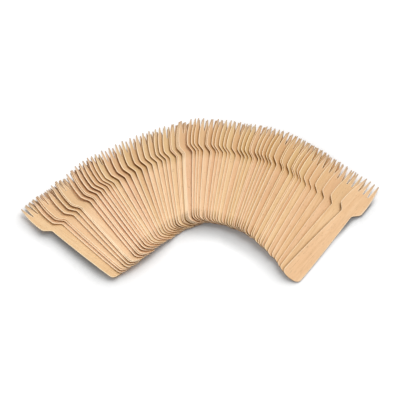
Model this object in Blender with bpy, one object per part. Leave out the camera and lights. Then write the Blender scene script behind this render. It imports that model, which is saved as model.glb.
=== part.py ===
"""Pack of wooden forks laid out as a shingled fan, modelled in metres with +Z up.

Every fork is one flat birch blank with a pressed head. The forks are laid one after the
other round the fan: each stands with its right edge on the table and leans back on the
forks that are already there, as they do when a stack is spread by hand. Where they lie
too close for that, a fork is carried a little higher. A few that lie flat on the fork
before, and the low pile under the first one, are joined to the fork that carries them.
"""
import math
import random

import bmesh
import bpy
import numpy as np
from mathutils import Matrix

# Blank of one fork
LENGTH = 0.160
THICKNESS = 0.0010
END_WIDTH = 0.0218
END_DEPTH = 0.0070
NECK_WIDTH = 0.0134
NECK_AT = 0.1065
HEAD_WIDTH = 0.0274
SHOULDER_AT = 0.1180
BELLY_WIDTH = 0.0272
BELLY_AT = 0.1280
ROOT_WIDTH = 0.0250
ROOT_AT = 0.1405
TINES = 4
TIP_PITCH = 0.0055
TIP_WIDTH = 0.0018
SLOT_PITCH = 0.0064
SLOT_WIDTH = 0.0009
TAPER_POWER = 1.4

# Press that lifts the tines above the handle's plane
TIP_LIFT = 0.0030
LIFT_POWER = 2

# Points on each curved stretch of the outline
END_STEPS = 3
TAPER_STEPS = 3
SHOULDER_STEPS = 4

# How the forks lie on each other
CONTACT_GAP = 0.0002
JOIN_DEPTH = 0.00005
LEAN_GROWTH = math.radians(3.5)
LEAN_LIMIT = math.radians(34)

# Low pile under the first fork, set in from its left edge and its handle end
PILE_FORKS = 3
PILE_INSET = 0.0045
PILE_FORWARD = 0.0012
PILE_TURN = math.radians(-1)
PILE_SLIP = (0.0004, -0.0005)

# Places on the fan: share of the way round, handle corner x and y, heading in degrees
STATIONS = (
    (0.000, -0.0947, -0.0769, 131.1),
    (0.045, -0.0832, -0.0744, 127.9),
    (0.120, -0.0692, -0.0694, 120.8),
    (0.240, -0.0460, -0.0528, 113.5),
    (0.380, -0.0203, -0.0372, 97.0),
    (0.520, 0.0107, -0.0331, 83.8),
    (0.660, 0.0443, -0.0517, 72.3),
    (0.800, 0.0698, -0.0833, 60.1),
    (0.910, 0.0875, -0.1160, 54.2),
    (1.000, 0.0915, -0.1362, 43.1),
)

# Runs of forks after the first: how many, step between their necks, flat on the one before
SPREAD, FLAT = False, True
RUNS = (
    (1, 0.0140, SPREAD), (1, 0.0036, SPREAD), (1, 0.0032, FLAT), (1, 0.0088, SPREAD),
    (2, 0.0050, SPREAD), (1, 0.0026, FLAT), (1, 0.0115, SPREAD), (1, 0.0048, SPREAD),
    (1, 0.0026, FLAT), (6, 0.0048, SPREAD), (9, 0.0062, SPREAD), (2, 0.0043, SPREAD),
    (1, 0.0070, SPREAD), (1, 0.0030, FLAT), (1, 0.0035, SPREAD), (3, 0.0016, FLAT),
    (1, 0.0068, SPREAD), (3, 0.0042, SPREAD), (1, 0.0078, SPREAD), (1, 0.0022, FLAT),
    (5, 0.0039, SPREAD), (2, 0.0058, SPREAD), (3, 0.0036, SPREAD), (1, 0.0026, FLAT),
    (5, 0.0035, SPREAD), (1, 0.0010, FLAT), (1, 0.0048, SPREAD), (1, 0.0078, SPREAD),
    (1, 0.0025, FLAT), (2, 0.0052, SPREAD), (1, 0.0025, FLAT), (2, 0.0038, SPREAD),
    (3, 0.0068, SPREAD), (1, 0.0087, SPREAD), (1, 0.0102, SPREAD), (1, 0.0113, SPREAD),
)

# Unevenness of a fan spread by hand
SEED = 7
STEP_SPREAD = 0.12
SLIDE_SPREAD = 0.0007
TURN_SPREAD = math.radians(0.25)
FLAT_SHIFT_MIN = 0.0004

# Contact test
REACH_BACK = 14
RIM_SAMPLES = 60
ACROSS_SAMPLES = 9
LEAN_TRIALS = 12
DROP_TRIALS = 4
TOUCH = 1e-6

# Birch shades: name and colour
SHADES = (
    ("birch_pale", (0.80, 0.60, 0.41)),
    ("birch_warm", (0.77, 0.54, 0.34)),
    ("birch_rosy", (0.78, 0.55, 0.39)),
)
ROUGHNESS = 0.62


def side_edge():
    """Left edge of the blank, from the handle's end to the outer tine's tip."""
    points = []
    for step in range(END_STEPS + 1):
        turn = math.radians(90) * step / END_STEPS
        across = END_WIDTH / 2 * math.sin(turn)
        points.append((END_DEPTH * (1 - math.cos(turn)), across))
    for step in range(1, TAPER_STEPS + 1):
        share = step / TAPER_STEPS
        narrowing = (END_WIDTH - NECK_WIDTH) / 2 * share ** TAPER_POWER
        points.append((END_DEPTH + (NECK_AT - END_DEPTH) * share, END_WIDTH / 2 - narrowing))
    for step in range(1, SHOULDER_STEPS + 1):
        share = step / SHOULDER_STEPS
        swell = (1 - math.cos(math.pi * share)) / 2
        across = NECK_WIDTH / 2 + (HEAD_WIDTH - NECK_WIDTH) / 2 * swell
        points.append((NECK_AT + (SHOULDER_AT - NECK_AT) * share, across))
    points.append((BELLY_AT, BELLY_WIDTH / 2))
    points.append((ROOT_AT, ROOT_WIDTH / 2))
    points.append((LENGTH, tine_centre(TINES - 1) + TIP_WIDTH / 2))
    return np.array(points)


def tine_centre(tine):
    """Distance of a tine's tip from the fork's middle line."""
    return TIP_PITCH * (tine - (TINES - 1) / 2)


def slot_centre(slot):
    """Distance of a slot's bottom from the fork's middle line."""
    return SLOT_PITCH * (slot - (TINES - 2) / 2)


def fork_outline():
    """Whole outline, counterclockwise from the middle of the handle's end."""
    left = side_edge()
    points = [(u, -v) for u, v in left]
    for tine in range(TINES):
        if tine > 0:
            points.append((LENGTH, tine_centre(tine) - TIP_WIDTH / 2))
        if tine < TINES - 1:
            points.append((LENGTH, tine_centre(tine) + TIP_WIDTH / 2))
            points.append((ROOT_AT, slot_centre(tine) - SLOT_WIDTH / 2))
            points.append((ROOT_AT, slot_centre(tine) + SLOT_WIDTH / 2))
    points += [(u, v) for u, v in left[:0:-1]]
    return points


EDGE = side_edge()
BENDS = (SHOULDER_AT, BELLY_AT, ROOT_AT)


def press_lift(u):
    """Height of the pressed blank above the handle's plane, straight between the bends."""
    stops = np.array((0.0,) + BENDS + (LENGTH,))
    share = np.clip((stops - SHOULDER_AT) / (LENGTH - SHOULDER_AT), 0, 1)
    return np.interp(u, stops, TIP_LIFT * share ** LIFT_POWER)


def contact_points():
    """Points on the rim and along the bends that are tested against other forks."""
    u = np.linspace(0, LENGTH, RIM_SAMPLES)
    half = np.interp(u, EDGE[:, 0], EDGE[:, 1])
    rims = [np.stack([u, half], 1), np.stack([u, -half], 1), EDGE, EDGE * (1, -1)]
    across = np.linspace(-1, 1, ACROSS_SAMPLES)
    for bend in BENDS:
        width = np.interp(bend, EDGE[:, 0], EDGE[:, 1])
        rims.append(np.stack([np.full(ACROSS_SAMPLES, bend), across * width], 1))
    return np.concatenate(rims)


CONTACT = contact_points()
CONTACT_LIFT = press_lift(CONTACT[:, 0])


class Placed:
    """A fork's place: spin turns the blank's axes, origin is the middle of its end."""

    def __init__(self, spin, origin):
        self.spin = spin
        self.origin = origin

    def face(self, lift):
        """Contact points of the face that lies at this height in the blank."""
        local = np.column_stack([CONTACT, CONTACT_LIFT + lift])
        return self.origin + local @ self.spin.T

    def above(self, ground, lift):
        """Height of that face over points of the ground, and which points it covers."""
        plan = np.linalg.inv(self.spin[:2, :2])
        tilt = self.spin[:2, 2]
        height = np.full(len(ground), lift)
        for _ in range(3):
            along, across = plan @ (ground - self.origin[:2] - np.outer(height, tilt)).T
            height = press_lift(along) + lift
        z = self.origin[2] + self.spin[2] @ np.stack([along, across, height])
        half = np.interp(along, EDGE[:, 0], EDGE[:, 1])
        covered = (along >= 0) & (along <= LENGTH) & (np.abs(across) <= half + TOUCH)
        return z, covered

    def moved(self, along, across, up):
        """The same fork shifted in its own axes."""
        return Placed(self.spin, self.origin + self.spin @ np.array([along, across, up]))

    def matrix(self):
        """Blender matrix of the place."""
        turn = Matrix([list(row) for row in self.spin]).to_4x4()
        return Matrix.Translation(self.origin.tolist()) @ turn


def lean_on_edge(corner, heading, lean, rise=0.0):
    """Place a fork by its right handle corner, tipped up about its right edge."""
    cos, sin = math.cos(heading), math.sin(heading)
    flat = np.array([[cos, -sin, 0], [sin, cos, 0], [0, 0, 1]])
    handle = np.array([END_DEPTH, -END_WIDTH / 2, 0])
    shoulder = np.array([SHOULDER_AT, -HEAD_WIDTH / 2, 0])
    axis = flat @ (shoulder - handle)
    x, y, z = axis / np.linalg.norm(axis)
    cross = np.array([[0, -z, y], [z, 0, -x], [-y, x, 0]])
    tip = np.eye(3) + math.sin(lean) * cross + (1 - math.cos(lean)) * cross @ cross
    spin = tip @ flat
    origin = np.array([corner[0], corner[1], 0]) - spin @ handle
    placed = Placed(spin, origin)
    placed.origin[2] += rise - placed.face(0)[:, 2].min()
    return placed


def gap_between(upper, lower):
    """Smallest gap, square to the lower fork, between its top and the upper underside."""
    gaps = []
    under = upper.face(0)
    z, covered = lower.above(under[:, :2], THICKNESS)
    gaps.extend(under[covered, 2] - z[covered])
    top = lower.face(THICKNESS)
    z, covered = upper.above(top[:, :2], 0)
    gaps.extend(z[covered] - top[covered, 2])
    return min(gaps, default=LENGTH) * lower.spin[2, 2]


def clear_of(placed, laid):
    """Smallest gap from a fork to the ones laid just before it."""
    return min(gap_between(placed, other) for other in laid[-REACH_BACK:])


def find_lean(corner, heading, laid, limit):
    """Smallest lean that clears the laid forks, or the limit if none below it does."""
    if clear_of(lean_on_edge(corner, heading, limit), laid) < CONTACT_GAP:
        return limit
    low, high = 0.0, limit
    for _ in range(LEAN_TRIALS):
        middle = (low + high) / 2
        if clear_of(lean_on_edge(corner, heading, middle), laid) < CONTACT_GAP:
            low = middle
        else:
            high = middle
    return high


def drop_on(corner, heading, lean, laid):
    """Let a fork down at this lean until it meets the table or the laid forks."""
    rise = 0.0
    placed = lean_on_edge(corner, heading, lean)
    for _ in range(DROP_TRIALS):
        short = CONTACT_GAP - clear_of(placed, laid)
        if short <= TOUCH:
            break
        rise += short / math.cos(lean) + TOUCH
        placed = lean_on_edge(corner, heading, lean, rise)
    return placed


def smooth_path(share, column):
    """Smooth value of one column of the stations at a share of the way round."""
    knots = np.array([station[0] for station in STATIONS])
    values = np.array([station[column] for station in STATIONS])
    slopes = np.gradient(values, knots)
    place = int(np.clip(np.searchsorted(knots, share, side="right") - 1, 0, len(knots) - 2))
    span = knots[place + 1] - knots[place]
    t = (share - knots[place]) / span
    start, end = values[place], values[place + 1]
    leave, arrive = slopes[place] * span, slopes[place + 1] * span
    rising = (3 - 2 * t) * t ** 2
    return (start * (1 - rising) + end * rising
            + leave * t * (1 - t) ** 2 - arrive * t ** 2 * (1 - t))


def spread_forks():
    """Corner, heading and whether it lies flat on the one before, for each fork in turn."""
    draw = random.Random(SEED)
    steps = [(0.0, SPREAD)]
    for count, step, flat in RUNS:
        for _ in range(count):
            steps.append((step * (1 + draw.uniform(-STEP_SPREAD, STEP_SPREAD)), flat))
    way = np.cumsum([step for step, _ in steps])
    forks = []
    for distance, (_, flat) in zip(way, steps):
        share = distance / way[-1]
        heading = math.radians(smooth_path(share, 3))
        slide = draw.uniform(-SLIDE_SPREAD, SLIDE_SPREAD)
        corner = np.array([smooth_path(share, 1), smooth_path(share, 2)])
        corner += slide * np.array([math.cos(heading), math.sin(heading)])
        forks.append((corner, heading + draw.uniform(-TURN_SPREAD, TURN_SPREAD), flat))
    return forks


def lay_fan():
    """Lay all forks and return them as groups, each of a carrier and what is joined to it."""
    forks = spread_forks()
    corner, heading, _ = forks[0]
    ahead = np.array([math.cos(heading), math.sin(heading)])
    right = np.array([ahead[1], -ahead[0]])
    pile_corner = corner + PILE_INSET * right + PILE_FORWARD * ahead
    bottom = lean_on_edge(pile_corner, heading + PILE_TURN, 0.0)
    along, across = PILE_SLIP
    pile = [bottom.moved(step * along, step * across, step * (THICKNESS - JOIN_DEPTH))
            for step in range(PILE_FORKS)]
    laid = list(pile)
    groups = []
    lean = 0.0
    before = corner
    for number, (corner, heading, flat) in enumerate(forks):
        if flat:
            right = np.array([math.sin(heading), -math.cos(heading)])
            step = (corner - before) @ right - THICKNESS * math.sin(lean)
            shift = max(FLAT_SHIFT_MIN, step / math.cos(lean))
            placed = laid[-1].moved(0.0, -shift, THICKNESS - JOIN_DEPTH)
            groups[-1].append(placed)
        else:
            if number > 0:
                lean = find_lean(corner, heading, laid, min(lean + LEAN_GROWTH, LEAN_LIMIT))
            placed = drop_on(corner, heading, lean, laid)
            groups.append([placed])
        laid.append(placed)
        before = corner
    return centre_on_origin([pile] + groups)


def centre_on_origin(groups):
    """Move the whole fan so that its box is centred over the origin."""
    faces = [placed.face(lift) for group in groups for placed in group
             for lift in (0.0, THICKNESS)]
    points = np.concatenate(faces)
    middle = (points.min(axis=0) + points.max(axis=0)) / 2
    middle[2] = 0.0
    return [[Placed(placed.spin, placed.origin - middle) for placed in group]
            for group in groups]


def clear_scene():
    """Remove whatever the scene holds."""
    for item in list(bpy.data.objects):
        bpy.data.objects.remove(item, do_unlink=True)


def make_collection(name):
    """New collection in the scene."""
    collection = bpy.data.collections.new(name)
    bpy.context.scene.collection.children.link(collection)
    return collection


def make_shade(name, colour):
    """Plain birch material of one shade."""
    material = bpy.data.materials.new(name)
    material.use_nodes = True
    shader = material.node_tree.nodes["Principled BSDF"]
    shader.inputs["Base Color"].default_value = (*colour, 1)
    shader.inputs["Roughness"].default_value = ROUGHNESS
    shader.inputs["Metallic"].default_value = 0.0
    material.diffuse_color = (*colour, 1)
    return material


def cut_blank():
    """Flat blank of one fork: the outline as a filled curve, made a welded mesh."""
    outline = fork_outline()
    curve = bpy.data.curves.new("fork_outline", "CURVE")
    curve.dimensions = "2D"
    curve.fill_mode = "BOTH"
    curve.extrude = THICKNESS / 2
    spline = curve.splines.new("POLY")
    spline.points.add(len(outline) - 1)
    for point, (u, v) in zip(spline.points, outline):
        point.co = (u, v, 0, 1)
    spline.use_cyclic_u = True
    guide = bpy.data.objects.new("fork_outline", curve)
    bpy.context.scene.collection.objects.link(guide)
    evaluated = guide.evaluated_get(bpy.context.evaluated_depsgraph_get())
    mesh = bpy.data.meshes.new_from_object(evaluated)
    bpy.data.objects.remove(guide, do_unlink=True)
    return mesh


def press_fork():
    """Mesh of one fork: the blank is bent along lines across its head, tines upward."""
    mesh = cut_blank()
    mesh.name = "fork"
    shape = bmesh.new()
    shape.from_mesh(mesh)
    bmesh.ops.remove_doubles(shape, verts=shape.verts, dist=TOUCH)
    bmesh.ops.dissolve_limit(shape, angle_limit=math.radians(0.5),
                             verts=shape.verts, edges=shape.edges)
    for bend in BENDS:
        bmesh.ops.bisect_plane(shape, geom=shape.verts[:] + shape.edges[:] + shape.faces[:],
                               dist=TOUCH, plane_co=(bend, 0, 0), plane_no=(1, 0, 0))
    for vertex in shape.verts:
        vertex.co.z += THICKNESS / 2 + float(press_lift(vertex.co.x))
    bmesh.ops.recalc_face_normals(shape, faces=shape.faces)
    shape.to_mesh(mesh)
    shape.free()
    return mesh


def add_fork(name, mesh, placed, collection):
    """One fork object that shares the pressed mesh."""
    fork = bpy.data.objects.new(name, mesh)
    fork.matrix_world = placed.matrix()
    collection.objects.link(fork)
    return fork


def join_flat_ones(carrier, mesh, group, helpers):
    """Join the forks that lie flat on the carrier to it."""
    for placed in group[1:]:
        helper = add_fork(carrier.name + "_on_top", mesh, placed, helpers)
        helper.hide_render = True
        helper.display_type = "WIRE"
        joint = carrier.modifiers.new("join", "BOOLEAN")
        joint.operation = "UNION"
        joint.solver = "EXACT"
        joint.object = helper


def group_name(first, count):
    """Name of a fork, or of a run of forks joined to the first of them."""
    if count == 1:
        return f"fork_{first:02d}"
    return f"forks_{first:02d}_to_{first + count - 1:02d}"


def build_fan():
    """Model the whole fan."""
    clear_scene()
    forks = make_collection("wooden_fork_fan")
    helpers = make_collection("joined_forks")
    shades = [make_shade(name, colour) for name, colour in SHADES]
    mesh = press_fork()
    mesh.materials.append(shades[0])
    draw = random.Random(SEED)
    pile, *groups = lay_fan()
    first = 1
    names = ["base_pile"]
    for group in groups:
        names.append(group_name(first, len(group)))
        first += len(group)
    for name, group in zip(names, [pile] + groups):
        fork = add_fork(name, mesh, group[0], forks)
        fork.material_slots[0].link = "OBJECT"
        fork.material_slots[0].material = draw.choice(shades)
        join_flat_ones(fork, mesh, group, helpers)


build_fan()
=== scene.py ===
"""Wooden forks spread as a shingled fan, dressed for the picture.

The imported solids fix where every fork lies, and the same rules lay the forks here. Each is
replaced by a finer fork with rounded edges and tips, in birch with grain, streaks and flecks
that differ from fork to fork. A fork's order runs from 0 at the fan's first fork to 1 at its
last, which lies on top.
"""
import math
import random

import bpy
import numpy as np
from mathutils import Matrix


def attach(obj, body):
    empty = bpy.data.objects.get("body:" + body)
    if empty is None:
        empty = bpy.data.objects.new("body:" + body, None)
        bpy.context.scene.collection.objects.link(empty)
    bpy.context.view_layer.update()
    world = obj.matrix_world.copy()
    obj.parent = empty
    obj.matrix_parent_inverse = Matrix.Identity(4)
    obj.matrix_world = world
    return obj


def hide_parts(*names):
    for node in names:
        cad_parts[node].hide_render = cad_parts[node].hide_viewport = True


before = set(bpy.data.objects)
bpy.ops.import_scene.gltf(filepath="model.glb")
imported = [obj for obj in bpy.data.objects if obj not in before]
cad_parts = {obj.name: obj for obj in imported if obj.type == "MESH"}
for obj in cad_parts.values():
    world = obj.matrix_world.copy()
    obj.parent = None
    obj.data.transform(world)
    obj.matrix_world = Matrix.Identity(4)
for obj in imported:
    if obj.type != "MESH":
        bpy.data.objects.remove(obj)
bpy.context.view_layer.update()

# Blank of one fork, as in the solids
LENGTH = 0.160
THICKNESS = 0.0010
END_WIDTH = 0.0218
END_DEPTH = 0.0070
NECK_WIDTH = 0.0134
NECK_AT = 0.1065
HEAD_WIDTH = 0.0274
SHOULDER_AT = 0.1180
BELLY_WIDTH = 0.0272
BELLY_AT = 0.1280
ROOT_WIDTH = 0.0250
ROOT_AT = 0.1405
TINES = 4
TIP_PITCH = 0.0055
TIP_WIDTH = 0.0018
SLOT_PITCH = 0.0064
SLOT_WIDTH = 0.0009
TAPER_POWER = 1.4
TIP_LIFT = 0.0030
LIFT_POWER = 2
QUARTER_TURN = math.radians(90)

# Steps of the solids' outline, which the contact rule needs
END_STEPS = 3
TAPER_STEPS = 3
SHOULDER_STEPS = 4

# How the forks lie, as in the solids
CONTACT_GAP = 0.0002
JOIN_DEPTH = 0.00005
LEAN_GROWTH = math.radians(3.5)
LEAN_LIMIT = math.radians(34)
PILE_FORKS = 3
PILE_INSET = 0.0045
PILE_FORWARD = 0.0012
PILE_TURN = math.radians(-1)
PILE_SLIP = (0.0004, -0.0005)

# Way round the fan: share of it, X and Y of the right handle corner, heading in degrees
STATIONS = (
    (0.000, -0.0947, -0.0769, 131.1),
    (0.045, -0.0832, -0.0744, 127.9),
    (0.120, -0.0692, -0.0694, 120.8),
    (0.240, -0.0460, -0.0528, 113.5),
    (0.380, -0.0203, -0.0372, 97.0),
    (0.520, 0.0107, -0.0331, 83.8),
    (0.660, 0.0443, -0.0517, 72.3),
    (0.800, 0.0698, -0.0833, 60.1),
    (0.910, 0.0875, -0.1160, 54.2),
    (1.000, 0.0915, -0.1362, 43.1),
)

# Forks in turn: how many, the step to each, and whether they lie flat on the one before
SPREAD, FLAT = False, True
RUNS = (
    (1, 0.0140, SPREAD), (1, 0.0036, SPREAD), (1, 0.0032, FLAT), (1, 0.0088, SPREAD),
    (2, 0.0050, SPREAD), (1, 0.0026, FLAT), (1, 0.0115, SPREAD), (1, 0.0048, SPREAD),
    (1, 0.0026, FLAT), (6, 0.0048, SPREAD), (9, 0.0062, SPREAD), (2, 0.0043, SPREAD),
    (1, 0.0070, SPREAD), (1, 0.0030, FLAT), (1, 0.0035, SPREAD), (3, 0.0016, FLAT),
    (1, 0.0068, SPREAD), (3, 0.0042, SPREAD), (1, 0.0078, SPREAD), (1, 0.0022, FLAT),
    (5, 0.0039, SPREAD), (2, 0.0058, SPREAD), (3, 0.0036, SPREAD), (1, 0.0026, FLAT),
    (5, 0.0035, SPREAD), (1, 0.0010, FLAT), (1, 0.0048, SPREAD), (1, 0.0078, SPREAD),
    (1, 0.0025, FLAT), (2, 0.0052, SPREAD), (1, 0.0025, FLAT), (2, 0.0038, SPREAD),
    (3, 0.0068, SPREAD), (1, 0.0087, SPREAD), (1, 0.0102, SPREAD), (1, 0.0113, SPREAD),
)
FLAT_SHIFT_MIN = 0.0004

# Small random differences between the forks
SEED = 7
STEP_SPREAD = 0.12
SLIDE_SPREAD = 0.0007
TURN_SPREAD = math.radians(0.25)

# How far back and how finely contact is tested
REACH_BACK = 14
RIM_SAMPLES = 60
ACROSS_SAMPLES = 9
LEAN_TRIALS = 12
DROP_TRIALS = 4
HEIGHT_TRIALS = 3
TOUCH = 1e-6

# Finer fork: its faces fill the contact gap, and its edges are rounded off
TOP_FACE = THICKNESS + CONTACT_GAP
TINE_END = 0.0013
EDGE_ROUND = 0.00026
SLOT_ROUND_SHARE = 0.6
TIP_ROUND_SHARE = 1 / 3
# Band over which a top edge's pale rim and painted highlight fade in; their share where rounding
# starts
EDGE_BAND = 0.0011
EDGE_BAND_SHARE = 0.3
RIM_START = 0.85
END_POWER = 0.78
END_START = 0.6
ROUND_STEPS = 2
END_ROWS = 8
TAPER_ROWS = 10
SHOULDER_ROWS = 10
HEAD_ROWS = 7
SLOT_BOTTOM_ROWS = (0, 0.12, 0.45, 1)
TINE_ROWS = 7
TIP_ROWS = 4
TIP_TURN = math.radians(84)
NORMAL_WEIGHT = 80

# Left edges curl up a little from the fork below, and least where a fork leans far
HEAD_CURL = 0.0011
HANDLE_CURL = 0.0002
CURL_POWER = 2
CURL_LEAN = math.radians(20)
LEAST_CURL = 0.15

# Crowding: over how many forks it grows from the left end and falls towards the right end
OPEN_LEFT = 5
OPEN_RIGHT = 10
LEAST_CROWD = 0.25

# Where the painted shade on heads and handle ends and the darker tips set in, and how pale a
# fork is
HEAD_SHADE_REACH = 0.008
END_SHADE_REACH = 0.016
TIP_POWER = 2
# Paleness: a random spread, plus painted light that grows towards the fan's first fork
PALE_SPREAD = 0.5
PAINTED_LIGHT_LEAST = 0.5
PAINTED_LIGHT_POWER = 1.5

# Painted shade down a blank's wall: 0.25 stays pale, 1 ends brown, more ends almost black
HANDLE_WALL_SHADE = 0.25
LAST_WALL_SHADE = 2.4
LAST_WALL_SHADE_FORKS = (0.975, 1.0)
HEAD_WALL_SHADE = 1.0
END_WALL_SHADE = (2.2, 5.0)
END_WALL_SHADE_FORKS = (0.2, 0.5)

# Strength of the painted shade line beside the fork above, at the fan's first fork and at its
# last
HANDLE_CREVICE_SHADE = (0.08, 0.9)
HANDLE_CREVICE_SHADE_POWER = 3
HEAD_CREVICE_SHADE = (0.75, 1.0)
HEAD_CREVICE_SHADE_FORKS = (0.0, 0.8)

# Wider shade on the crowded handle ends, and all along the last two forks
HOLLOW_REACH = 0.0105
HOLLOW_FORKS = (0.20, 0.35)
LAST_HOLLOW = 0.9
LAST_HOLLOW_FORKS = (0.975, 0.985)

# Camera: where it looks, and from where
LOOK_AT = (0.00339, 0.00827, 0.0)
CAMERA_DISTANCE = 1.0
CAMERA_ELEVATION = math.radians(48.27)
CAMERA_ROLL = -0.1649
LENS_PIXELS = 858.5
PICTURE_PIXELS = 400
SENSOR_WIDTH = 36.0
NEAREST_SEEN = 0.01

# Lights: name, strength, and elevation, azimuth and softness in degrees
LIGHTS = (
    ("main_light", 1.51, 63, 16, 40),
    ("side_light", 0.66, 30, 232, 50),
)
SKY_STRENGTH = 0.51
BACKGROUND_RAYS = ("Is Camera Ray", "Is Glossy Ray", "Is Transmission Ray")
WHITE = (1, 1, 1, 1)

# Floor, and the soft shade that the camera sees on it beside the forks
FLOOR_SIZE = 6.0
FLOOR_DROP = 0.0001
FLOOR_ROUGHNESS = 0.9
FLOOR_BOUNCE = 0.80
FLOOR_SEEN = 1.0
FLOOR_LIFT = 0.05
SHADE_SAMPLES = 16
SHADE_REACH = 0.027
SHADE_TURN = (0.68, 0.54, 0.50)
SHADE_SPAN = (0.58, 1.0)

# Darkest level of that shade: at the far left, then from where to where along X it changes
SHADE_FAR_LEFT = 0.62
SHADE_STEPS = (
    (-0.205, -0.175, 0.24),
    (-0.128, -0.080, 0.68),
    (-0.035, 0.000, 0.47),
    (0.020, 0.045, 0.56),
    (0.110, 0.150, 0.95),
)

# Second shade, below the topmost fork's shoulder: where it sets in along X and Y, and fades
NOOK_REACH = 0.016
NOOK_TURN = (0.25, 0.80, 0.40)
NOOK_SPAN = (0.76, 1.0)
NOOK_DARKEST = 0.22
NOOK_ALONG = (0.11, 0.15)
NOOK_BACK = (-0.030, -0.045)
NOOK_FRONT = (-0.095, -0.060)
NOOK_LEAST = 0.3

# Birch: body and grain, painted shade on the heads of crowded forks, and darker tips
BIRCH_PALE = (0.86, 0.585, 0.345)
BIRCH_DEEP = (0.76, 0.46, 0.24)
BIRCH_STREAK = (0.62, 0.35, 0.17)
BIRCH_FLECK = (0.36, 0.18, 0.08)
PAINTED_HEAD_SHADE = (0.68, 0.43, 0.205)
BIRCH_TIP = (0.38, 0.29, 0.23)
HEAD_SHADE_SHARE = 0.7
TIP_SHARE = 0.75

# Pale rims with painted highlight; painted shade low on walls, beside a fork above, in hollows
PALE_EDGE_AND_HIGHLIGHT = (1.0, 0.82, 0.58)
PAINTED_WALL_SHADE = (0.52, 0.25, 0.07)
PAINTED_GAP_SHADOW = (0.09, 0.04, 0.015)
PAINTED_CREVICE_SHADE = (0.48, 0.23, 0.06)
PAINTED_HOLLOW_SHADE = (0.30, 0.135, 0.04)
EDGE_HIGHLIGHT_SHARE = 0.9
HIGHLIGHT_LOSS_AT_TIP = 0.75
WALL_SHADE_SPAN = (0.35, 0.85)
GAP_SHADOW_SPAN = (1.0, 1.3)
CREVICE_REACH = 0.0036
CREVICE_SAMPLES = 6
CREVICE_SPAN = (0.55, 0.95)
HOLLOW_SPAN = (0.62, 0.98)

# Grain is laid out in millimetres, and starts somewhere else on each fork
GRAIN_UNIT = 1000
GRAIN_SHIFT = 900

# Noises of the grain: scale along, across and through a blank, detail, roughness, warp
DRIFT = ((0.018, 0.09, 0.09), 2.0, 0.5, 0.6)
BANDS = ((0.012, 0.55, 0.2), 2.0, 0.55, 1.4)
FIBRES = ((0.07, 5.0, 3.0), 3.0, 0.6, 0.0)
STREAKS = ((0.025, 0.95, 0.8), 2.0, 0.55, 0.4)
FLECKS = ((0.34, 1.1, 1.0), 1.0, 0.4, 0.0)
BLOTCHES = ((0.05, 0.16, 0.1), 3.0, 0.6, 0.3)

# Span of each noise that shows, and how strongly
DRIFT_SPAN = (0.25, 0.75)
DRIFT_SHARE = 0.55
BAND_SPAN = (0.42, 0.64)
BAND_SHARE = (0.35, 0.5)
FIBRE_SPAN = (0.50, 0.78)
FIBRE_SHARE = 0.42
STREAK_SPAN = (0.52, 0.74)
STREAK_SHARE = 0.50
FLECK_SPAN = (0.65, 0.76)
FLECK_SHARE = 0.55

# Hue, saturation, brightness and roughness: start, and change with the tone or the grain
HUE = (0.4950, 0.012)
SATURATION = (1.06, -0.11)
BRIGHTNESS = (0.90, 0.12)
BLOTCH_BRIGHTNESS = 0.12
ROUGHNESS = (0.54, 0.16)

# Sheen and relief
SPECULAR = 0.35
RELIEF_STREAKS = 0.4
RELIEF_STRENGTH = 0.35
RELIEF_DEPTH = 0.00008

# Sockets of a mix node that take colours, and the one that gives the mixed colour
MIX_COLOURS = (6, 7)
MIX_RESULT = 2


def side_edge():
    """Left edge of the solids' blank, from the handle's end to the outer tine's tip."""
    points = []
    for step in range(END_STEPS + 1):
        turn = QUARTER_TURN * step / END_STEPS
        across = END_WIDTH / 2 * math.sin(turn)
        points.append((END_DEPTH * (1 - math.cos(turn)), across))
    for step in range(1, TAPER_STEPS + 1):
        share = step / TAPER_STEPS
        narrowing = (END_WIDTH - NECK_WIDTH) / 2 * share ** TAPER_POWER
        points.append((END_DEPTH + (NECK_AT - END_DEPTH) * share, END_WIDTH / 2 - narrowing))
    for step in range(1, SHOULDER_STEPS + 1):
        share = step / SHOULDER_STEPS
        swell = (1 - math.cos(math.pi * share)) / 2
        across = NECK_WIDTH / 2 + (HEAD_WIDTH - NECK_WIDTH) / 2 * swell
        points.append((NECK_AT + (SHOULDER_AT - NECK_AT) * share, across))
    points.append((BELLY_AT, BELLY_WIDTH / 2))
    points.append((ROOT_AT, ROOT_WIDTH / 2))
    points.append((LENGTH, tine_centre(TINES - 1) + TIP_WIDTH / 2))
    return np.array(points)


def tine_centre(tine):
    """Distance of a tine's tip from the fork's middle line."""
    return TIP_PITCH * (tine - (TINES - 1) / 2)


def slot_centre(slot):
    """Distance of a slot's bottom from the fork's middle line."""
    return SLOT_PITCH * (slot - (TINES - 2) / 2)


EDGE = side_edge()
BENDS = (SHOULDER_AT, BELLY_AT, ROOT_AT)


def press_lift(u):
    """Height of the solids' pressed blank above the handle's plane."""
    stops = np.array((0.0,) + BENDS + (LENGTH,))
    share = np.clip((stops - SHOULDER_AT) / (LENGTH - SHOULDER_AT), 0, 1)
    return np.interp(u, stops, TIP_LIFT * share ** LIFT_POWER)


def contact_points():
    """Points on the rim and along the bends that are tested against other forks."""
    u = np.linspace(0, LENGTH, RIM_SAMPLES)
    half = np.interp(u, EDGE[:, 0], EDGE[:, 1])
    rims = [np.stack([u, half], 1), np.stack([u, -half], 1), EDGE, EDGE * (1, -1)]
    across = np.linspace(-1, 1, ACROSS_SAMPLES)
    for bend in BENDS:
        width = np.interp(bend, EDGE[:, 0], EDGE[:, 1])
        rims.append(np.stack([np.full(ACROSS_SAMPLES, bend), across * width], 1))
    return np.concatenate(rims)


CONTACT = contact_points()
CONTACT_LIFT = press_lift(CONTACT[:, 0])


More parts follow.
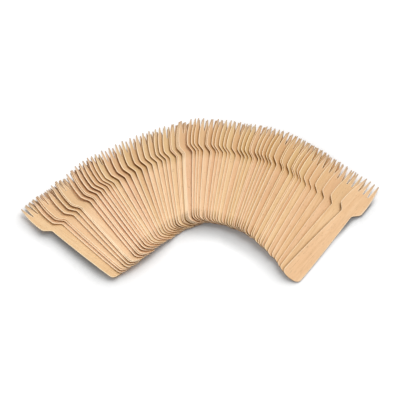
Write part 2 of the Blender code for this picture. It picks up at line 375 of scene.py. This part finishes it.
class Placed:
    """A fork's place: spin turns the blank's axes, origin is the middle of its end."""

    def __init__(self, spin, origin):
        self.spin = spin
        self.origin = origin

    def face(self, lift):
        """Contact points of the face that lies at this height in the blank."""
        local = np.column_stack([CONTACT, CONTACT_LIFT + lift])
        return self.origin + local @ self.spin.T

    def above(self, ground, lift):
        """Height of that face over points of the ground, and which points it covers."""
        plan = np.linalg.inv(self.spin[:2, :2])
        tilt = self.spin[:2, 2]
        height = np.full(len(ground), lift)
        for _ in range(HEIGHT_TRIALS):
            along, across = plan @ (ground - self.origin[:2] - np.outer(height, tilt)).T
            height = press_lift(along) + lift
        z = self.origin[2] + self.spin[2] @ np.stack([along, across, height])
        half = np.interp(along, EDGE[:, 0], EDGE[:, 1])
        covered = (along >= 0) & (along <= LENGTH) & (np.abs(across) <= half + TOUCH)
        return z, covered

    def moved(self, along, across, up):
        """The same fork shifted in its own axes."""
        return Placed(self.spin, self.origin + self.spin @ np.array([along, across, up]))


def lean_on_edge(corner, heading, lean, rise=0.0):
    """Place a fork by its right handle corner, tipped up about its right edge."""
    cos, sin = math.cos(heading), math.sin(heading)
    flat = np.array([[cos, -sin, 0], [sin, cos, 0], [0, 0, 1]])
    handle = np.array([END_DEPTH, -END_WIDTH / 2, 0])
    shoulder = np.array([SHOULDER_AT, -HEAD_WIDTH / 2, 0])
    axis = flat @ (shoulder - handle)
    x, y, z = axis / np.linalg.norm(axis)
    cross = np.array([[0, -z, y], [z, 0, -x], [-y, x, 0]])
    tip = np.eye(3) + math.sin(lean) * cross + (1 - math.cos(lean)) * cross @ cross
    spin = tip @ flat
    origin = np.array([corner[0], corner[1], 0]) - spin @ handle
    placed = Placed(spin, origin)
    placed.origin[2] += rise - placed.face(0)[:, 2].min()
    return placed


def gap_between(upper, lower):
    """Smallest gap, square to the lower fork, between its top and the upper underside."""
    gaps = []
    under = upper.face(0)
    z, covered = lower.above(under[:, :2], THICKNESS)
    gaps.extend(under[covered, 2] - z[covered])
    top = lower.face(THICKNESS)
    z, covered = upper.above(top[:, :2], 0)
    gaps.extend(z[covered] - top[covered, 2])
    return min(gaps, default=LENGTH) * lower.spin[2, 2]


def clear_of(placed, laid):
    """Smallest gap from a fork to the ones laid just before it."""
    return min(gap_between(placed, other) for other in laid[-REACH_BACK:])


def find_lean(corner, heading, laid, limit):
    """Smallest lean that clears the laid forks, or the limit if none below it does."""
    if clear_of(lean_on_edge(corner, heading, limit), laid) < CONTACT_GAP:
        return limit
    low, high = 0.0, limit
    for _ in range(LEAN_TRIALS):
        middle = (low + high) / 2
        if clear_of(lean_on_edge(corner, heading, middle), laid) < CONTACT_GAP:
            low = middle
        else:
            high = middle
    return high


def drop_on(corner, heading, lean, laid):
    """Let a fork down at this lean until it meets the table or the laid forks."""
    rise = 0.0
    placed = lean_on_edge(corner, heading, lean)
    for _ in range(DROP_TRIALS):
        short = CONTACT_GAP - clear_of(placed, laid)
        if short <= TOUCH:
            break
        rise += short / math.cos(lean) + TOUCH
        placed = lean_on_edge(corner, heading, lean, rise)
    return placed


def smooth_curve(knots, values, slopes, at):
    """Value at one place of the smooth curve through knots with these slopes."""
    place = int(np.clip(np.searchsorted(knots, at, side="right") - 1, 0, len(knots) - 2))
    span = knots[place + 1] - knots[place]
    t = (at - knots[place]) / span
    start, end = values[place], values[place + 1]
    leave, arrive = slopes[place] * span, slopes[place + 1] * span
    rising = (3 - 2 * t) * t ** 2
    return (start * (1 - rising) + end * rising
            + leave * t * (1 - t) ** 2 - arrive * t ** 2 * (1 - t))


def smooth_path(share, column):
    """Smooth value of one column of the stations at a share of the way round."""
    knots = np.array([station[0] for station in STATIONS])
    values = np.array([station[column] for station in STATIONS])
    return smooth_curve(knots, values, np.gradient(values, knots), share)


def spread_forks():
    """Corner, heading and whether it lies flat on the one before, for each fork in turn."""
    draw = random.Random(SEED)
    steps = [(0.0, SPREAD)]
    for count, step, flat in RUNS:
        for _ in range(count):
            steps.append((step * (1 + draw.uniform(-STEP_SPREAD, STEP_SPREAD)), flat))
    way = np.cumsum([step for step, _ in steps])
    forks = []
    for distance, (_, flat) in zip(way, steps):
        share = distance / way[-1]
        heading = math.radians(smooth_path(share, 3))
        slide = draw.uniform(-SLIDE_SPREAD, SLIDE_SPREAD)
        corner = np.array([smooth_path(share, 1), smooth_path(share, 2)])
        corner += slide * np.array([math.cos(heading), math.sin(heading)])
        forks.append((corner, heading + draw.uniform(-TURN_SPREAD, TURN_SPREAD), flat))
    return forks


def lay_fan():
    """Lay all forks and return them as groups, each of a carrier and what is joined to it."""
    forks = spread_forks()
    corner, heading, _ = forks[0]
    ahead = np.array([math.cos(heading), math.sin(heading)])
    right = np.array([ahead[1], -ahead[0]])
    pile_corner = corner + PILE_INSET * right + PILE_FORWARD * ahead
    bottom = lean_on_edge(pile_corner, heading + PILE_TURN, 0.0)
    along, across = PILE_SLIP
    pile = [bottom.moved(step * along, step * across, step * (THICKNESS - JOIN_DEPTH))
            for step in range(PILE_FORKS)]
    laid = list(pile)
    groups = []
    lean = 0.0
    before = corner
    for number, (corner, heading, flat) in enumerate(forks):
        if flat:
            right = np.array([math.sin(heading), -math.cos(heading)])
            step = (corner - before) @ right - THICKNESS * math.sin(lean)
            shift = max(FLAT_SHIFT_MIN, step / math.cos(lean))
            placed = laid[-1].moved(0.0, -shift, THICKNESS - JOIN_DEPTH)
            groups[-1].append(placed)
        else:
            if number > 0:
                lean = find_lean(corner, heading, laid, min(lean + LEAN_GROWTH, LEAN_LIMIT))
            placed = drop_on(corner, heading, lean, laid)
            groups.append([placed])
        laid.append(placed)
        before = corner
    return centre_on_origin([pile] + groups)


def centre_on_origin(groups):
    """Move the whole fan so that its box is centred over the origin."""
    faces = [placed.face(lift) for group in groups for placed in group
             for lift in (0.0, THICKNESS)]
    points = np.concatenate(faces)
    middle = (points.min(axis=0) + points.max(axis=0)) / 2
    middle[2] = 0.0
    return [[Placed(placed.spin, placed.origin - middle) for placed in group]
            for group in groups]


def node_name(first, count):
    """Name of the CAD node of a fork, or of a run of forks joined to the first of them."""
    if count == 1:
        return f"fork_{first:02d}"
    return f"forks_{first:02d}_to_{first + count - 1:02d}"


def smooth_lift(u):
    """Height of the finer fork's pressed head above the handle's plane."""
    share = np.clip((u - SHOULDER_AT) / (LENGTH - SHOULDER_AT), 0, 1)
    return TIP_LIFT * share ** LIFT_POWER


def edge_curl(u, v):
    """Height by which the left edge curls up, more at the head than at the handle."""
    head = np.clip((u - NECK_AT) / (SHOULDER_AT - NECK_AT), 0, 1)
    head = head * head * (3 - 2 * head)
    side = np.clip(v / (HEAD_WIDTH / 2), 0, 1)
    return (HANDLE_CURL + (HEAD_CURL - HANDLE_CURL) * head) * side ** CURL_POWER


def head_half(u):
    """Half width of the head from its shoulder to the tips, as one smooth curve."""
    knots = np.array([SHOULDER_AT, BELLY_AT, ROOT_AT, LENGTH])
    tip = tine_centre(TINES - 1) + TINE_END / 2
    values = np.array([HEAD_WIDTH, BELLY_WIDTH, ROOT_WIDTH, 2 * tip]) / 2
    chords = np.diff(values) / np.diff(knots)
    slopes = np.array([0.0, (chords[0] + chords[1]) / 2, (chords[1] + chords[2]) / 2, chords[2]])
    return smooth_curve(knots, values, slopes, u)


def body_rows():
    """Rows across the handle and the solid part of the head: place and half width."""
    rows = []
    for step in range(1, END_ROWS + 1):
        turn = QUARTER_TURN * (step - END_START) / (END_ROWS - END_START)
        back = 1 - max(0.0, math.cos(turn)) ** END_POWER
        rows.append((END_DEPTH * back, END_WIDTH / 2 * math.sin(turn) ** END_POWER))
    for step in range(1, TAPER_ROWS + 1):
        share = step / TAPER_ROWS
        narrowing = (END_WIDTH - NECK_WIDTH) / 2 * share ** TAPER_POWER
        rows.append((END_DEPTH + (NECK_AT - END_DEPTH) * share, END_WIDTH / 2 - narrowing))
    for step in range(1, SHOULDER_ROWS + 1):
        share = step / SHOULDER_ROWS
        swell = (1 - math.cos(math.pi * share)) / 2
        across = NECK_WIDTH / 2 + (HEAD_WIDTH - NECK_WIDTH) / 2 * swell
        rows.append((NECK_AT + (SHOULDER_AT - NECK_AT) * share, across))
    for step in range(1, HEAD_ROWS + 1):
        u = SHOULDER_AT + (ROOT_AT - SHOULDER_AT) * step / HEAD_ROWS
        rows.append((u, head_half(u)))
    return rows


def slot_edges(u, slot):
    """Both edges of a slot at a place on the tines; its bottom is round."""
    share = (u - ROOT_AT) / (LENGTH - ROOT_AT)
    tip_middle = (tine_centre(slot) + tine_centre(slot + 1)) / 2
    middle = slot_centre(slot) * (1 - share) + tip_middle * share
    half = SLOT_WIDTH / 2 + ((TIP_PITCH - TINE_END) - SLOT_WIDTH) / 2 * share
    from_bottom = u - ROOT_AT
    if from_bottom < SLOT_WIDTH / 2:
        inward = 1 - from_bottom / (SLOT_WIDTH / 2)
        half *= math.sqrt(max(0.0, 1 - inward ** 2))
    return middle - half, middle + half


def tine_span(u, tine):
    """Both sides of a tine at a place along it, with the tip rounded."""
    low = -head_half(u) if tine == 0 else slot_edges(u, tine - 1)[1]
    high = head_half(u) if tine == TINES - 1 else slot_edges(u, tine)[0]
    radius = TINE_END / 2
    from_round = u - (LENGTH - radius)
    if from_round > 0:
        middle = (low + high) / 2
        half = (high - low) / 2 * math.sqrt(max(0.0, 1 - (from_round / radius) ** 2))
        low, high = middle - half, middle + half
    return low, high


def tine_rows():
    """Places of the rows along the tines."""
    bottom = SLOT_WIDTH / 2
    radius = TINE_END / 2
    rows = [ROOT_AT + share * bottom for share in SLOT_BOTTOM_ROWS]
    start, end = rows[-1], LENGTH - radius
    for step in range(1, TINE_ROWS + 1):
        rows.append(start + (end - start) * step / TINE_ROWS)
    for step in range(1, TIP_ROWS + 1):
        turn = TIP_TURN * step / TIP_ROWS
        rows.append(end + radius * math.sin(turn))
    return rows


def tine_stops(low, high):
    """Places across a tine: its sides, the inner limits of its paler edges, its middle."""
    band = min(EDGE_BAND, EDGE_BAND_SHARE * (high - low))
    return [low, low + band, (low + high) / 2, high - band, high]


def ring(u, stops, round_low, round_high):
    """Points round a cross-section, each with how much it is rim and how much undercut."""
    # The rim share sets the pale rim with its painted highlight, the undercut share the painted
    # shade low on the wall
    points = [(u, stop, TOP_FACE, 0, 0) for stop in stops[1:-1]]
    turns = [QUARTER_TURN * step / ROUND_STEPS for step in range(ROUND_STEPS + 1)]

    def corner(edge, side, rounding, under):
        found = []
        for turn in turns:
            across = edge - side * rounding * (1 - math.sin(turn))
            drop = rounding * (1 - math.cos(turn))
            rim = 1.0 if turn > 0 else RIM_START
            found.append((u, across, drop if under else TOP_FACE - drop, rim, float(under)))
        return found

    points.extend(corner(stops[-1], 1, round_high, False))
    points.extend(reversed(corner(stops[-1], 1, round_high, True)))
    points.extend((u, stop, 0.0, 0, 1) for stop in reversed(stops[1:-1]))
    points.extend(corner(stops[0], -1, round_low, True))
    points.extend(reversed(corner(stops[0], -1, round_low, False)))
    return points


def bridge(rings, close_start, close_end):
    """Points and faces of a tube through rings that all have as many points."""
    count = len(rings[0])
    points = [point for one in rings for point in one]
    faces = []
    for row in range(len(rings) - 1):
        for place in range(count):
            after = (place + 1) % count
            a, b = row * count + place, row * count + after
            faces.append((a, a + count, b + count, b))
    if close_start:
        faces.append(tuple(range(count)))
    if close_end:
        last = (len(rings) - 1) * count
        faces.append(tuple(last + place for place in reversed(range(count))))
    return points, faces


def fork_form():
    """The finer fork in its own axes: points (along, across, up, rim, undercut) and faces."""
    root = []
    for tine in range(TINES):
        low, high = tine_span(ROOT_AT, tine)
        stops = tine_stops(low, high)
        root.extend(stops[:-1] if tine < TINES - 1 else stops)
    shares = np.array(root) / root[-1]
    parts = []
    rings = []
    for u, half in body_rows():
        rounding = min(EDGE_ROUND, half / 2)
        rings.append(ring(u, shares * half, rounding, rounding))
    parts.append(bridge(rings, True, False))
    for tine in range(TINES):
        rings = []
        for u in tine_rows():
            low, high = tine_span(u, tine)
            slot_round = min(EDGE_ROUND, SLOT_ROUND_SHARE * (u - ROOT_AT))
            tip_round = min(EDGE_ROUND, TIP_ROUND_SHARE * (high - low))
            low_round = tip_round if tine == 0 else min(slot_round, tip_round)
            high_round = tip_round if tine == TINES - 1 else min(slot_round, tip_round)
            rings.append(ring(u, tine_stops(low, high), low_round, high_round))
        parts.append(bridge(rings, False, True))
    points, faces = [], []
    for part_points, part_faces in parts:
        first = len(points)
        points.extend(part_points)
        faces.extend([tuple(first + corner for corner in face) for face in part_faces])
    return weld(np.array(points), faces)


def weld(points, faces):
    """Merge points that share a place, and drop faces that shrink to nothing."""
    keys = {}
    kept = []
    where = []
    for point in points:
        key = tuple(np.round(point[:3] / TOUCH / 2).astype(int))
        if key not in keys:
            keys[key] = len(kept)
            kept.append(point)
        where.append(keys[key])
    clean = []
    for face in faces:
        corners = []
        for corner in face:
            if where[corner] not in corners:
                corners.append(where[corner])
        if len(corners) > 2:
            clean.append(corners)
    return np.array(kept), clean


def fork_shades(points, crowd, order):
    """Strength of each tone, painted highlight and painted shade at a fork's points, by crowding
    and order.
    """
    along = points[:, 0]
    head = np.clip((along - NECK_AT + HEAD_SHADE_REACH) / HEAD_SHADE_REACH, 0, 1)
    end = np.clip((END_SHADE_REACH - along) / END_DEPTH, 0, 1)
    tip = np.clip((along - ROOT_AT) / (LENGTH - ROOT_AT), 0, 1) ** TIP_POWER
    handle_wall_shade = np.interp(order, LAST_WALL_SHADE_FORKS, (HANDLE_WALL_SHADE, LAST_WALL_SHADE))
    end_wall_shade = np.interp(order, END_WALL_SHADE_FORKS, END_WALL_SHADE)
    wall_shade = np.maximum(HEAD_WALL_SHADE * head, end_wall_shade * end)
    wall_shade = points[:, 4] * np.maximum(handle_wall_shade, wall_shade)
    # Strength of the painted shade beside the fork above
    handle_shade_line = np.interp(order ** HANDLE_CREVICE_SHADE_POWER, (0, 1), HANDLE_CREVICE_SHADE)
    head_shade_line = np.interp(order, HEAD_CREVICE_SHADE_FORKS, HEAD_CREVICE_SHADE)
    line = handle_shade_line + (head_shade_line - handle_shade_line) * np.maximum(head, end)
    hollow_shade = np.clip((HOLLOW_REACH - along) / (HOLLOW_REACH / 2), 0, 1)
    hollow_shade = hollow_shade * crowd * np.interp(order, HOLLOW_FORKS, (0, 1))
    last_hollow = np.interp(order, LAST_HOLLOW_FORKS, (0, LAST_HOLLOW))
    return {
        # Shares of the pale rim with painted highlight, of painted wall shade and of painted
        # crevice shade
        "rim": np.column_stack([points[:, 3], wall_shade, line]),
        # Painted shade on the heads, as strong as the fork is crowded
        "head": head * crowd,
        "tip": tip,
        "hollow_shade": np.maximum(hollow_shade, last_hollow),
    }


def add_attribute(mesh, name, values):
    """Keep a number or a vector for each of the mesh's points."""
    kind, field = ("FLOAT_VECTOR", "vector") if values.ndim == 2 else ("FLOAT", "value")
    attribute = mesh.attributes.new(name, kind, "POINT")
    attribute.data.foreach_set(field, values.astype(np.float32).ravel())


class Dresser:
    """Puts finer forks in the place of the CAD nodes, each with its own grain and tone."""

    def __init__(self):
        self.points, self.faces = fork_form()
        self.material = make_birch()
        self.draw = random.Random(SEED)

    def tone(self, crowd, order):
        """Paleness, part random and part painted light, hue and depth of grain of one fork."""
        pale, hue, depth = (self.draw.random() for _ in range(3))
        painted_light = max(crowd, PAINTED_LIGHT_LEAST) * (1 - order) ** PAINTED_LIGHT_POWER
        return pale * PALE_SPREAD + painted_light, hue, depth

    def dress(self, node, group, crowd, order, curled=True):
        """One finer piece for a CAD node, with all of that node's forks."""
        count = len(self.points)
        flat = self.points[:, :3].copy()
        flat[:, 2] += smooth_lift(flat[:, 0])
        curl = edge_curl(flat[:, 0], flat[:, 1]) * curled
        places, grain, tones, faces = [], [], [], []
        for placed in group:
            first = len(places) * count
            lean = math.acos(min(1.0, placed.spin[2, 2]))
            ease = min(1.0, max(0.0, (LEAN_LIMIT - lean) / (LEAN_LIMIT - CURL_LEAN)))
            local = flat.copy()
            local[:, 2] += curl * (LEAST_CURL + (1 - LEAST_CURL) * ease)
            places.append(placed.origin + local @ placed.spin.T)
            offset = np.array([self.draw.uniform(0, GRAIN_SHIFT) for _ in range(3)])
            grain.append(local * GRAIN_UNIT + offset)
            tones.append(np.tile(self.tone(crowd, order), (count, 1)))
            faces.extend([[first + corner for corner in face] for face in self.faces])
        mesh = bpy.data.meshes.new("birch_" + node)
        mesh.from_pydata(np.concatenate(places).tolist(), [], faces)
        add_attribute(mesh, "grain_place", np.concatenate(grain))
        add_attribute(mesh, "fork_tone_and_light", np.concatenate(tones))
        for shade, values in fork_shades(self.points, crowd, order).items():
            add_attribute(mesh, shade, np.concatenate([values] * len(group)))
        mesh.shade_smooth()
        mesh.materials.append(self.material)
        piece = bpy.data.objects.new("birch_" + node, mesh)
        bpy.context.scene.collection.objects.link(piece)
        weighted = piece.modifiers.new("flat_faces", "WEIGHTED_NORMAL")
        weighted.weight = NORMAL_WEIGHT
        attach(piece, "root")
        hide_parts(node)


class Nodes:
    """Short way to wire a node tree."""

    def __init__(self, tree):
        self.tree = tree

    def add(self, kind, settings=None, **inputs):
        """New node with its settings, and its inputs linked or set."""
        node = self.tree.nodes.new(kind)
        for key, value in (settings or {}).items():
            setattr(node, key, value)
        for key, value in inputs.items():
            self.feed(node.inputs[key], value)
        return node

    def feed(self, socket, value):
        """Link or set one socket."""
        if isinstance(value, bpy.types.NodeSocket):
            self.tree.links.new(value, socket)
        else:
            socket.default_value = value

    def maths(self, operation, first, second):
        """Math node, as its result."""
        node = self.add("ShaderNodeMath", {"operation": operation})
        self.feed(node.inputs[0], first)
        self.feed(node.inputs[1], second)
        return node.outputs[0]

    def spread(self, value, start, slope):
        """Value times a slope, from a start."""
        return self.maths("ADD", self.maths("MULTIPLY", value, slope), start)

    def ramp(self, value, low, high):
        """Value mapped from low..high to 0..1, eased."""
        node = self.add("ShaderNodeMapRange", {"interpolation_type": "SMOOTHSTEP"}, Value=value)
        node.inputs["From Min"].default_value = low
        node.inputs["From Max"].default_value = high
        return node.outputs["Result"]

    def closed(self, value, low, high):
        """Value mapped from low..high to 1..0, eased."""
        return self.maths("SUBTRACT", 1.0, self.ramp(value, low, high))

    def blend(self, share, first, second):
        """Colour mix, as its result."""
        node = self.add("ShaderNodeMix", {"data_type": "RGBA", "blend_type": "MIX"})
        self.feed(node.inputs[0], share)
        for place, colour in zip(MIX_COLOURS, (first, second)):
            whole = (*colour, 1) if isinstance(colour, tuple) else colour
            self.feed(node.inputs[place], whole)
        return node.outputs[MIX_RESULT]

    def layer(self, below, colour, share, strength):
        """A colour laid over what is below, where both share and strength are high."""
        return self.blend(self.maths("MULTIPLY", share, strength), below, colour)

    def noise(self, vector, scale, detail, rough, warp):
        """Noise over a vector scaled along each axis, as its value."""
        scaled = self.add("ShaderNodeVectorMath", {"operation": "MULTIPLY"})
        self.feed(scaled.inputs[0], vector)
        scaled.inputs[1].default_value = scale
        node = self.add("ShaderNodeTexNoise", Vector=scaled.outputs[0], Scale=1.0,
                        Detail=detail, Roughness=rough, Distortion=warp)
        return node.outputs["Fac"]

    def attribute(self, name, output):
        """Output of a mesh attribute."""
        return self.add("ShaderNodeAttribute", {"attribute_name": name}).outputs[output]

    def openness(self, reach, samples, **inputs):
        """How open the surroundings are within this reach: 1 where nothing is near."""
        settings = {"samples": samples}
        near = self.add("ShaderNodeAmbientOcclusion", settings, Distance=reach, **inputs)
        return near.outputs["AO"]

    def background_ray(self):
        """1 for rays that show the background: from the camera, gloss or glass."""
        path = self.add("ShaderNodeLightPath")
        seen = path.outputs[BACKGROUND_RAYS[0]]
        for name in BACKGROUND_RAYS[1:]:
            seen = self.maths("MAXIMUM", seen, path.outputs[name])
        return seen


def new_material(name):
    """Material, the wiring of its nodes, and its shader."""
    material = bpy.data.materials.new(name)
    material.use_nodes = True
    tree = material.node_tree
    return material, Nodes(tree), tree.nodes["Principled BSDF"]


def make_birch():
    """Birch veneer: drifting tone, growth bands, fibres, flecks, pale rims with painted
    highlight, painted shade.
    """
    material, wood, shader = new_material("birch")
    place = wood.attribute("grain_place", "Vector")
    tone = wood.attribute("fork_tone_and_light", "Vector")
    edges = wood.attribute("rim", "Vector")
    pale, hue, depth = wood.add("ShaderNodeSeparateXYZ", Vector=tone).outputs
    rim, undercut, line = wood.add("ShaderNodeSeparateXYZ", Vector=edges).outputs
    tip = wood.attribute("tip", "Fac")
    fibres = wood.noise(place, *FIBRES)
    streaks = wood.noise(place, *STREAKS)

    drift = wood.ramp(wood.noise(place, *DRIFT), *DRIFT_SPAN)
    body = wood.blend(drift, BIRCH_PALE, BIRCH_DEEP)
    body = wood.blend(DRIFT_SHARE, BIRCH_PALE, body)
    bands = wood.ramp(wood.noise(place, *BANDS), *BAND_SPAN)
    body = wood.layer(body, BIRCH_DEEP, bands, wood.spread(depth, *BAND_SHARE))
    body = wood.layer(body, BIRCH_STREAK, wood.ramp(fibres, *FIBRE_SPAN), FIBRE_SHARE)
    body = wood.layer(body, BIRCH_STREAK, wood.ramp(streaks, *STREAK_SPAN), STREAK_SHARE)
    flecks = wood.ramp(wood.noise(place, *FLECKS), *FLECK_SPAN)
    body = wood.layer(body, BIRCH_FLECK, flecks, FLECK_SHARE)
    # Painted shade that darkens and browns the heads of crowded forks
    body = wood.layer(body, PAINTED_HEAD_SHADE, wood.attribute("head", "Fac"), HEAD_SHADE_SHARE)
    body = wood.layer(body, BIRCH_TIP, tip, TIP_SHARE)
    # Paler cut edges with a painted highlight along the rims, fading towards the tips
    body = wood.layer(body, PALE_EDGE_AND_HIGHLIGHT, rim, wood.spread(tip, EDGE_HIGHLIGHT_SHARE, -HIGHLIGHT_LOSS_AT_TIP))
    # Painted shade low on the walls, nearly black at crowded handle ends and the last forks'
    # handles
    body = wood.layer(body, PAINTED_WALL_SHADE, wood.ramp(undercut, *WALL_SHADE_SPAN), rim)
    body = wood.layer(body, PAINTED_GAP_SHADOW, wood.ramp(undercut, *GAP_SHADOW_SPAN), rim)
    # Painted shade beside a fork above, where the surroundings close in within a few millimetres
    near = wood.openness(CREVICE_REACH, CREVICE_SAMPLES)
    body = wood.layer(body, PAINTED_CREVICE_SHADE, wood.closed(near, *CREVICE_SPAN), line)
    # Wider painted shade on the crowded handle ends and all along the last two forks
    hollow_shade = wood.attribute("hollow_shade", "Fac")
    body = wood.layer(body, PAINTED_HOLLOW_SHADE, wood.closed(near, *HOLLOW_SPAN), hollow_shade)

    blotches = wood.maths("MULTIPLY", wood.noise(place, *BLOTCHES), BLOTCH_BRIGHTNESS)
    # Brightness and saturation follow paleness, which holds painted light towards the fan's
    # first fork
    value = wood.maths("ADD", wood.spread(pale, *BRIGHTNESS), blotches)
    toned = wood.add("ShaderNodeHueSaturation", Hue=wood.spread(hue, *HUE), Value=value,
                     Saturation=wood.spread(pale, *SATURATION), Color=body)
    wood.feed(shader.inputs["Base Color"], toned.outputs["Color"])
    wood.feed(shader.inputs["Roughness"], wood.spread(fibres, *ROUGHNESS))
    shader.inputs["Specular IOR Level"].default_value = SPECULAR
    relief = wood.maths("ADD", fibres, wood.maths("MULTIPLY", streaks, RELIEF_STREAKS))
    bump = wood.add("ShaderNodeBump", Strength=RELIEF_STRENGTH, Distance=RELIEF_DEPTH,
                    Height=relief)
    wood.feed(shader.inputs["Normal"], bump.outputs["Normal"])
    return material


def grey(level):
    """Colour of one level."""
    return (level,) * 3


def side_openness(paper, reach, turn, span):
    """How open the floor is towards one side: 0 close beside the forks, 1 away from them."""
    side = paper.add("ShaderNodeNormal").outputs["Normal"]
    side.default_value = turn
    return paper.ramp(paper.openness(reach, SHADE_SAMPLES, Normal=side), *span)


def seen_floor(paper):
    """The floor's white as the camera sees it, with the soft shade beside the forks."""
    place = paper.add("ShaderNodeTexCoord").outputs["Object"]
    along, deep, _ = paper.add("ShaderNodeSeparateXYZ", Vector=place).outputs
    darkest = grey(SHADE_FAR_LEFT)
    for start, end, level in SHADE_STEPS:
        darkest = paper.blend(paper.ramp(along, start, end), darkest, grey(level))
    apart = side_openness(paper, SHADE_REACH, SHADE_TURN, SHADE_SPAN)
    white = paper.blend(apart, darkest, grey(FLOOR_SEEN))
    nook = side_openness(paper, NOOK_REACH, NOOK_TURN, NOOK_SPAN)
    nook = paper.maths("SUBTRACT", 1.0, nook)
    front = paper.maths("MAXIMUM", paper.ramp(deep, *NOOK_FRONT), NOOK_LEAST)
    for share in (paper.ramp(along, *NOOK_ALONG), paper.ramp(deep, *NOOK_BACK), front):
        nook = paper.maths("MULTIPLY", nook, share)
    return paper.blend(nook, white, grey(NOOK_DARKEST))


def add_floor():
    """Plain white floor that keeps the forks' shadow."""
    bpy.ops.mesh.primitive_plane_add(size=FLOOR_SIZE, location=(0, 0, -FLOOR_DROP))
    floor = bpy.context.object
    floor.name = "floor"
    material, paper, shader = new_material("white_floor")
    shader.inputs["Roughness"].default_value = FLOOR_ROUGHNESS
    shader.inputs["Specular IOR Level"].default_value = 0.0
    seen = paper.background_ray()
    colour = paper.blend(seen, grey(FLOOR_BOUNCE), seen_floor(paper))
    paper.feed(shader.inputs["Base Color"], colour)
    lift = paper.maths("MULTIPLY", seen, FLOOR_LIFT)
    glow = paper.add("ShaderNodeEmission", Color=WHITE, Strength=lift)
    both = paper.add("ShaderNodeAddShader")
    paper.feed(both.inputs[0], shader.outputs[0])
    paper.feed(both.inputs[1], glow.outputs[0])
    output = paper.tree.nodes["Material Output"]
    paper.feed(output.inputs["Surface"], both.outputs[0])
    floor.data.materials.append(material)


def add_lights():
    """Soft high light from the right and a weaker one from the front left."""
    for name, strength, elevation, azimuth, softness in LIGHTS:
        lamp = bpy.data.lights.new(name, "SUN")
        lamp.energy = strength
        lamp.angle = math.radians(softness)
        light = bpy.data.objects.new(name, lamp)
        bpy.context.scene.collection.objects.link(light)
        light.rotation_euler = (0, math.radians(90 - elevation), math.radians(azimuth))


def add_surround():
    """Even white surround, weaker as a light than as a background."""
    world = bpy.data.worlds.new("white_surround")
    bpy.context.scene.world = world
    world.use_nodes = True
    sky = Nodes(world.node_tree)
    strength = sky.add("ShaderNodeMapRange", Value=sky.background_ray())
    strength.inputs["To Min"].default_value = SKY_STRENGTH
    strength.inputs["To Max"].default_value = 1.0
    background = world.node_tree.nodes["Background"]
    background.inputs["Color"].default_value = WHITE
    sky.feed(background.inputs["Strength"], strength.outputs["Result"])


def add_camera():
    """Camera at the photograph's angle, rolled a little."""
    data = bpy.data.cameras.new("camera")
    data.sensor_width = SENSOR_WIDTH
    data.lens = LENS_PIXELS / PICTURE_PIXELS * SENSOR_WIDTH
    data.clip_start = NEAREST_SEEN
    camera = bpy.data.objects.new("camera", data)
    bpy.context.scene.collection.objects.link(camera)
    turn = Matrix.Rotation(QUARTER_TURN - CAMERA_ELEVATION, 4, "X")
    roll = Matrix.Rotation(CAMERA_ROLL, 4, "Z")
    back = turn @ Matrix.Translation((0, 0, CAMERA_DISTANCE))
    camera.matrix_world = Matrix.Translation(LOOK_AT) @ back @ roll
    bpy.context.scene.camera = camera


def dress_fan():
    """Dress the pile and every group of forks, in the order in which they are laid."""
    dresser = Dresser()
    pile, *groups = lay_fan()
    dresser.dress("base_pile", pile, crowd=1.0, order=0.0, curled=False)
    first = 1
    total = sum(len(group) for group in groups)
    for group in groups:
        from_end = (total - first) / OPEN_RIGHT + LEAST_CROWD
        crowd = min(1.0, (first - 1) / OPEN_LEFT, from_end)
        dresser.dress(node_name(first, len(group)), group, crowd, first / total)
        first += len(group)


def build():
    """Dress the fan, then set the floor, lights, surround and camera."""
    dress_fan()
    add_floor()
    add_lights()
    add_surround()
    add_camera()
    bpy.context.scene.view_settings.view_transform = "Standard"


build()
bpy.context.view_layer.update()
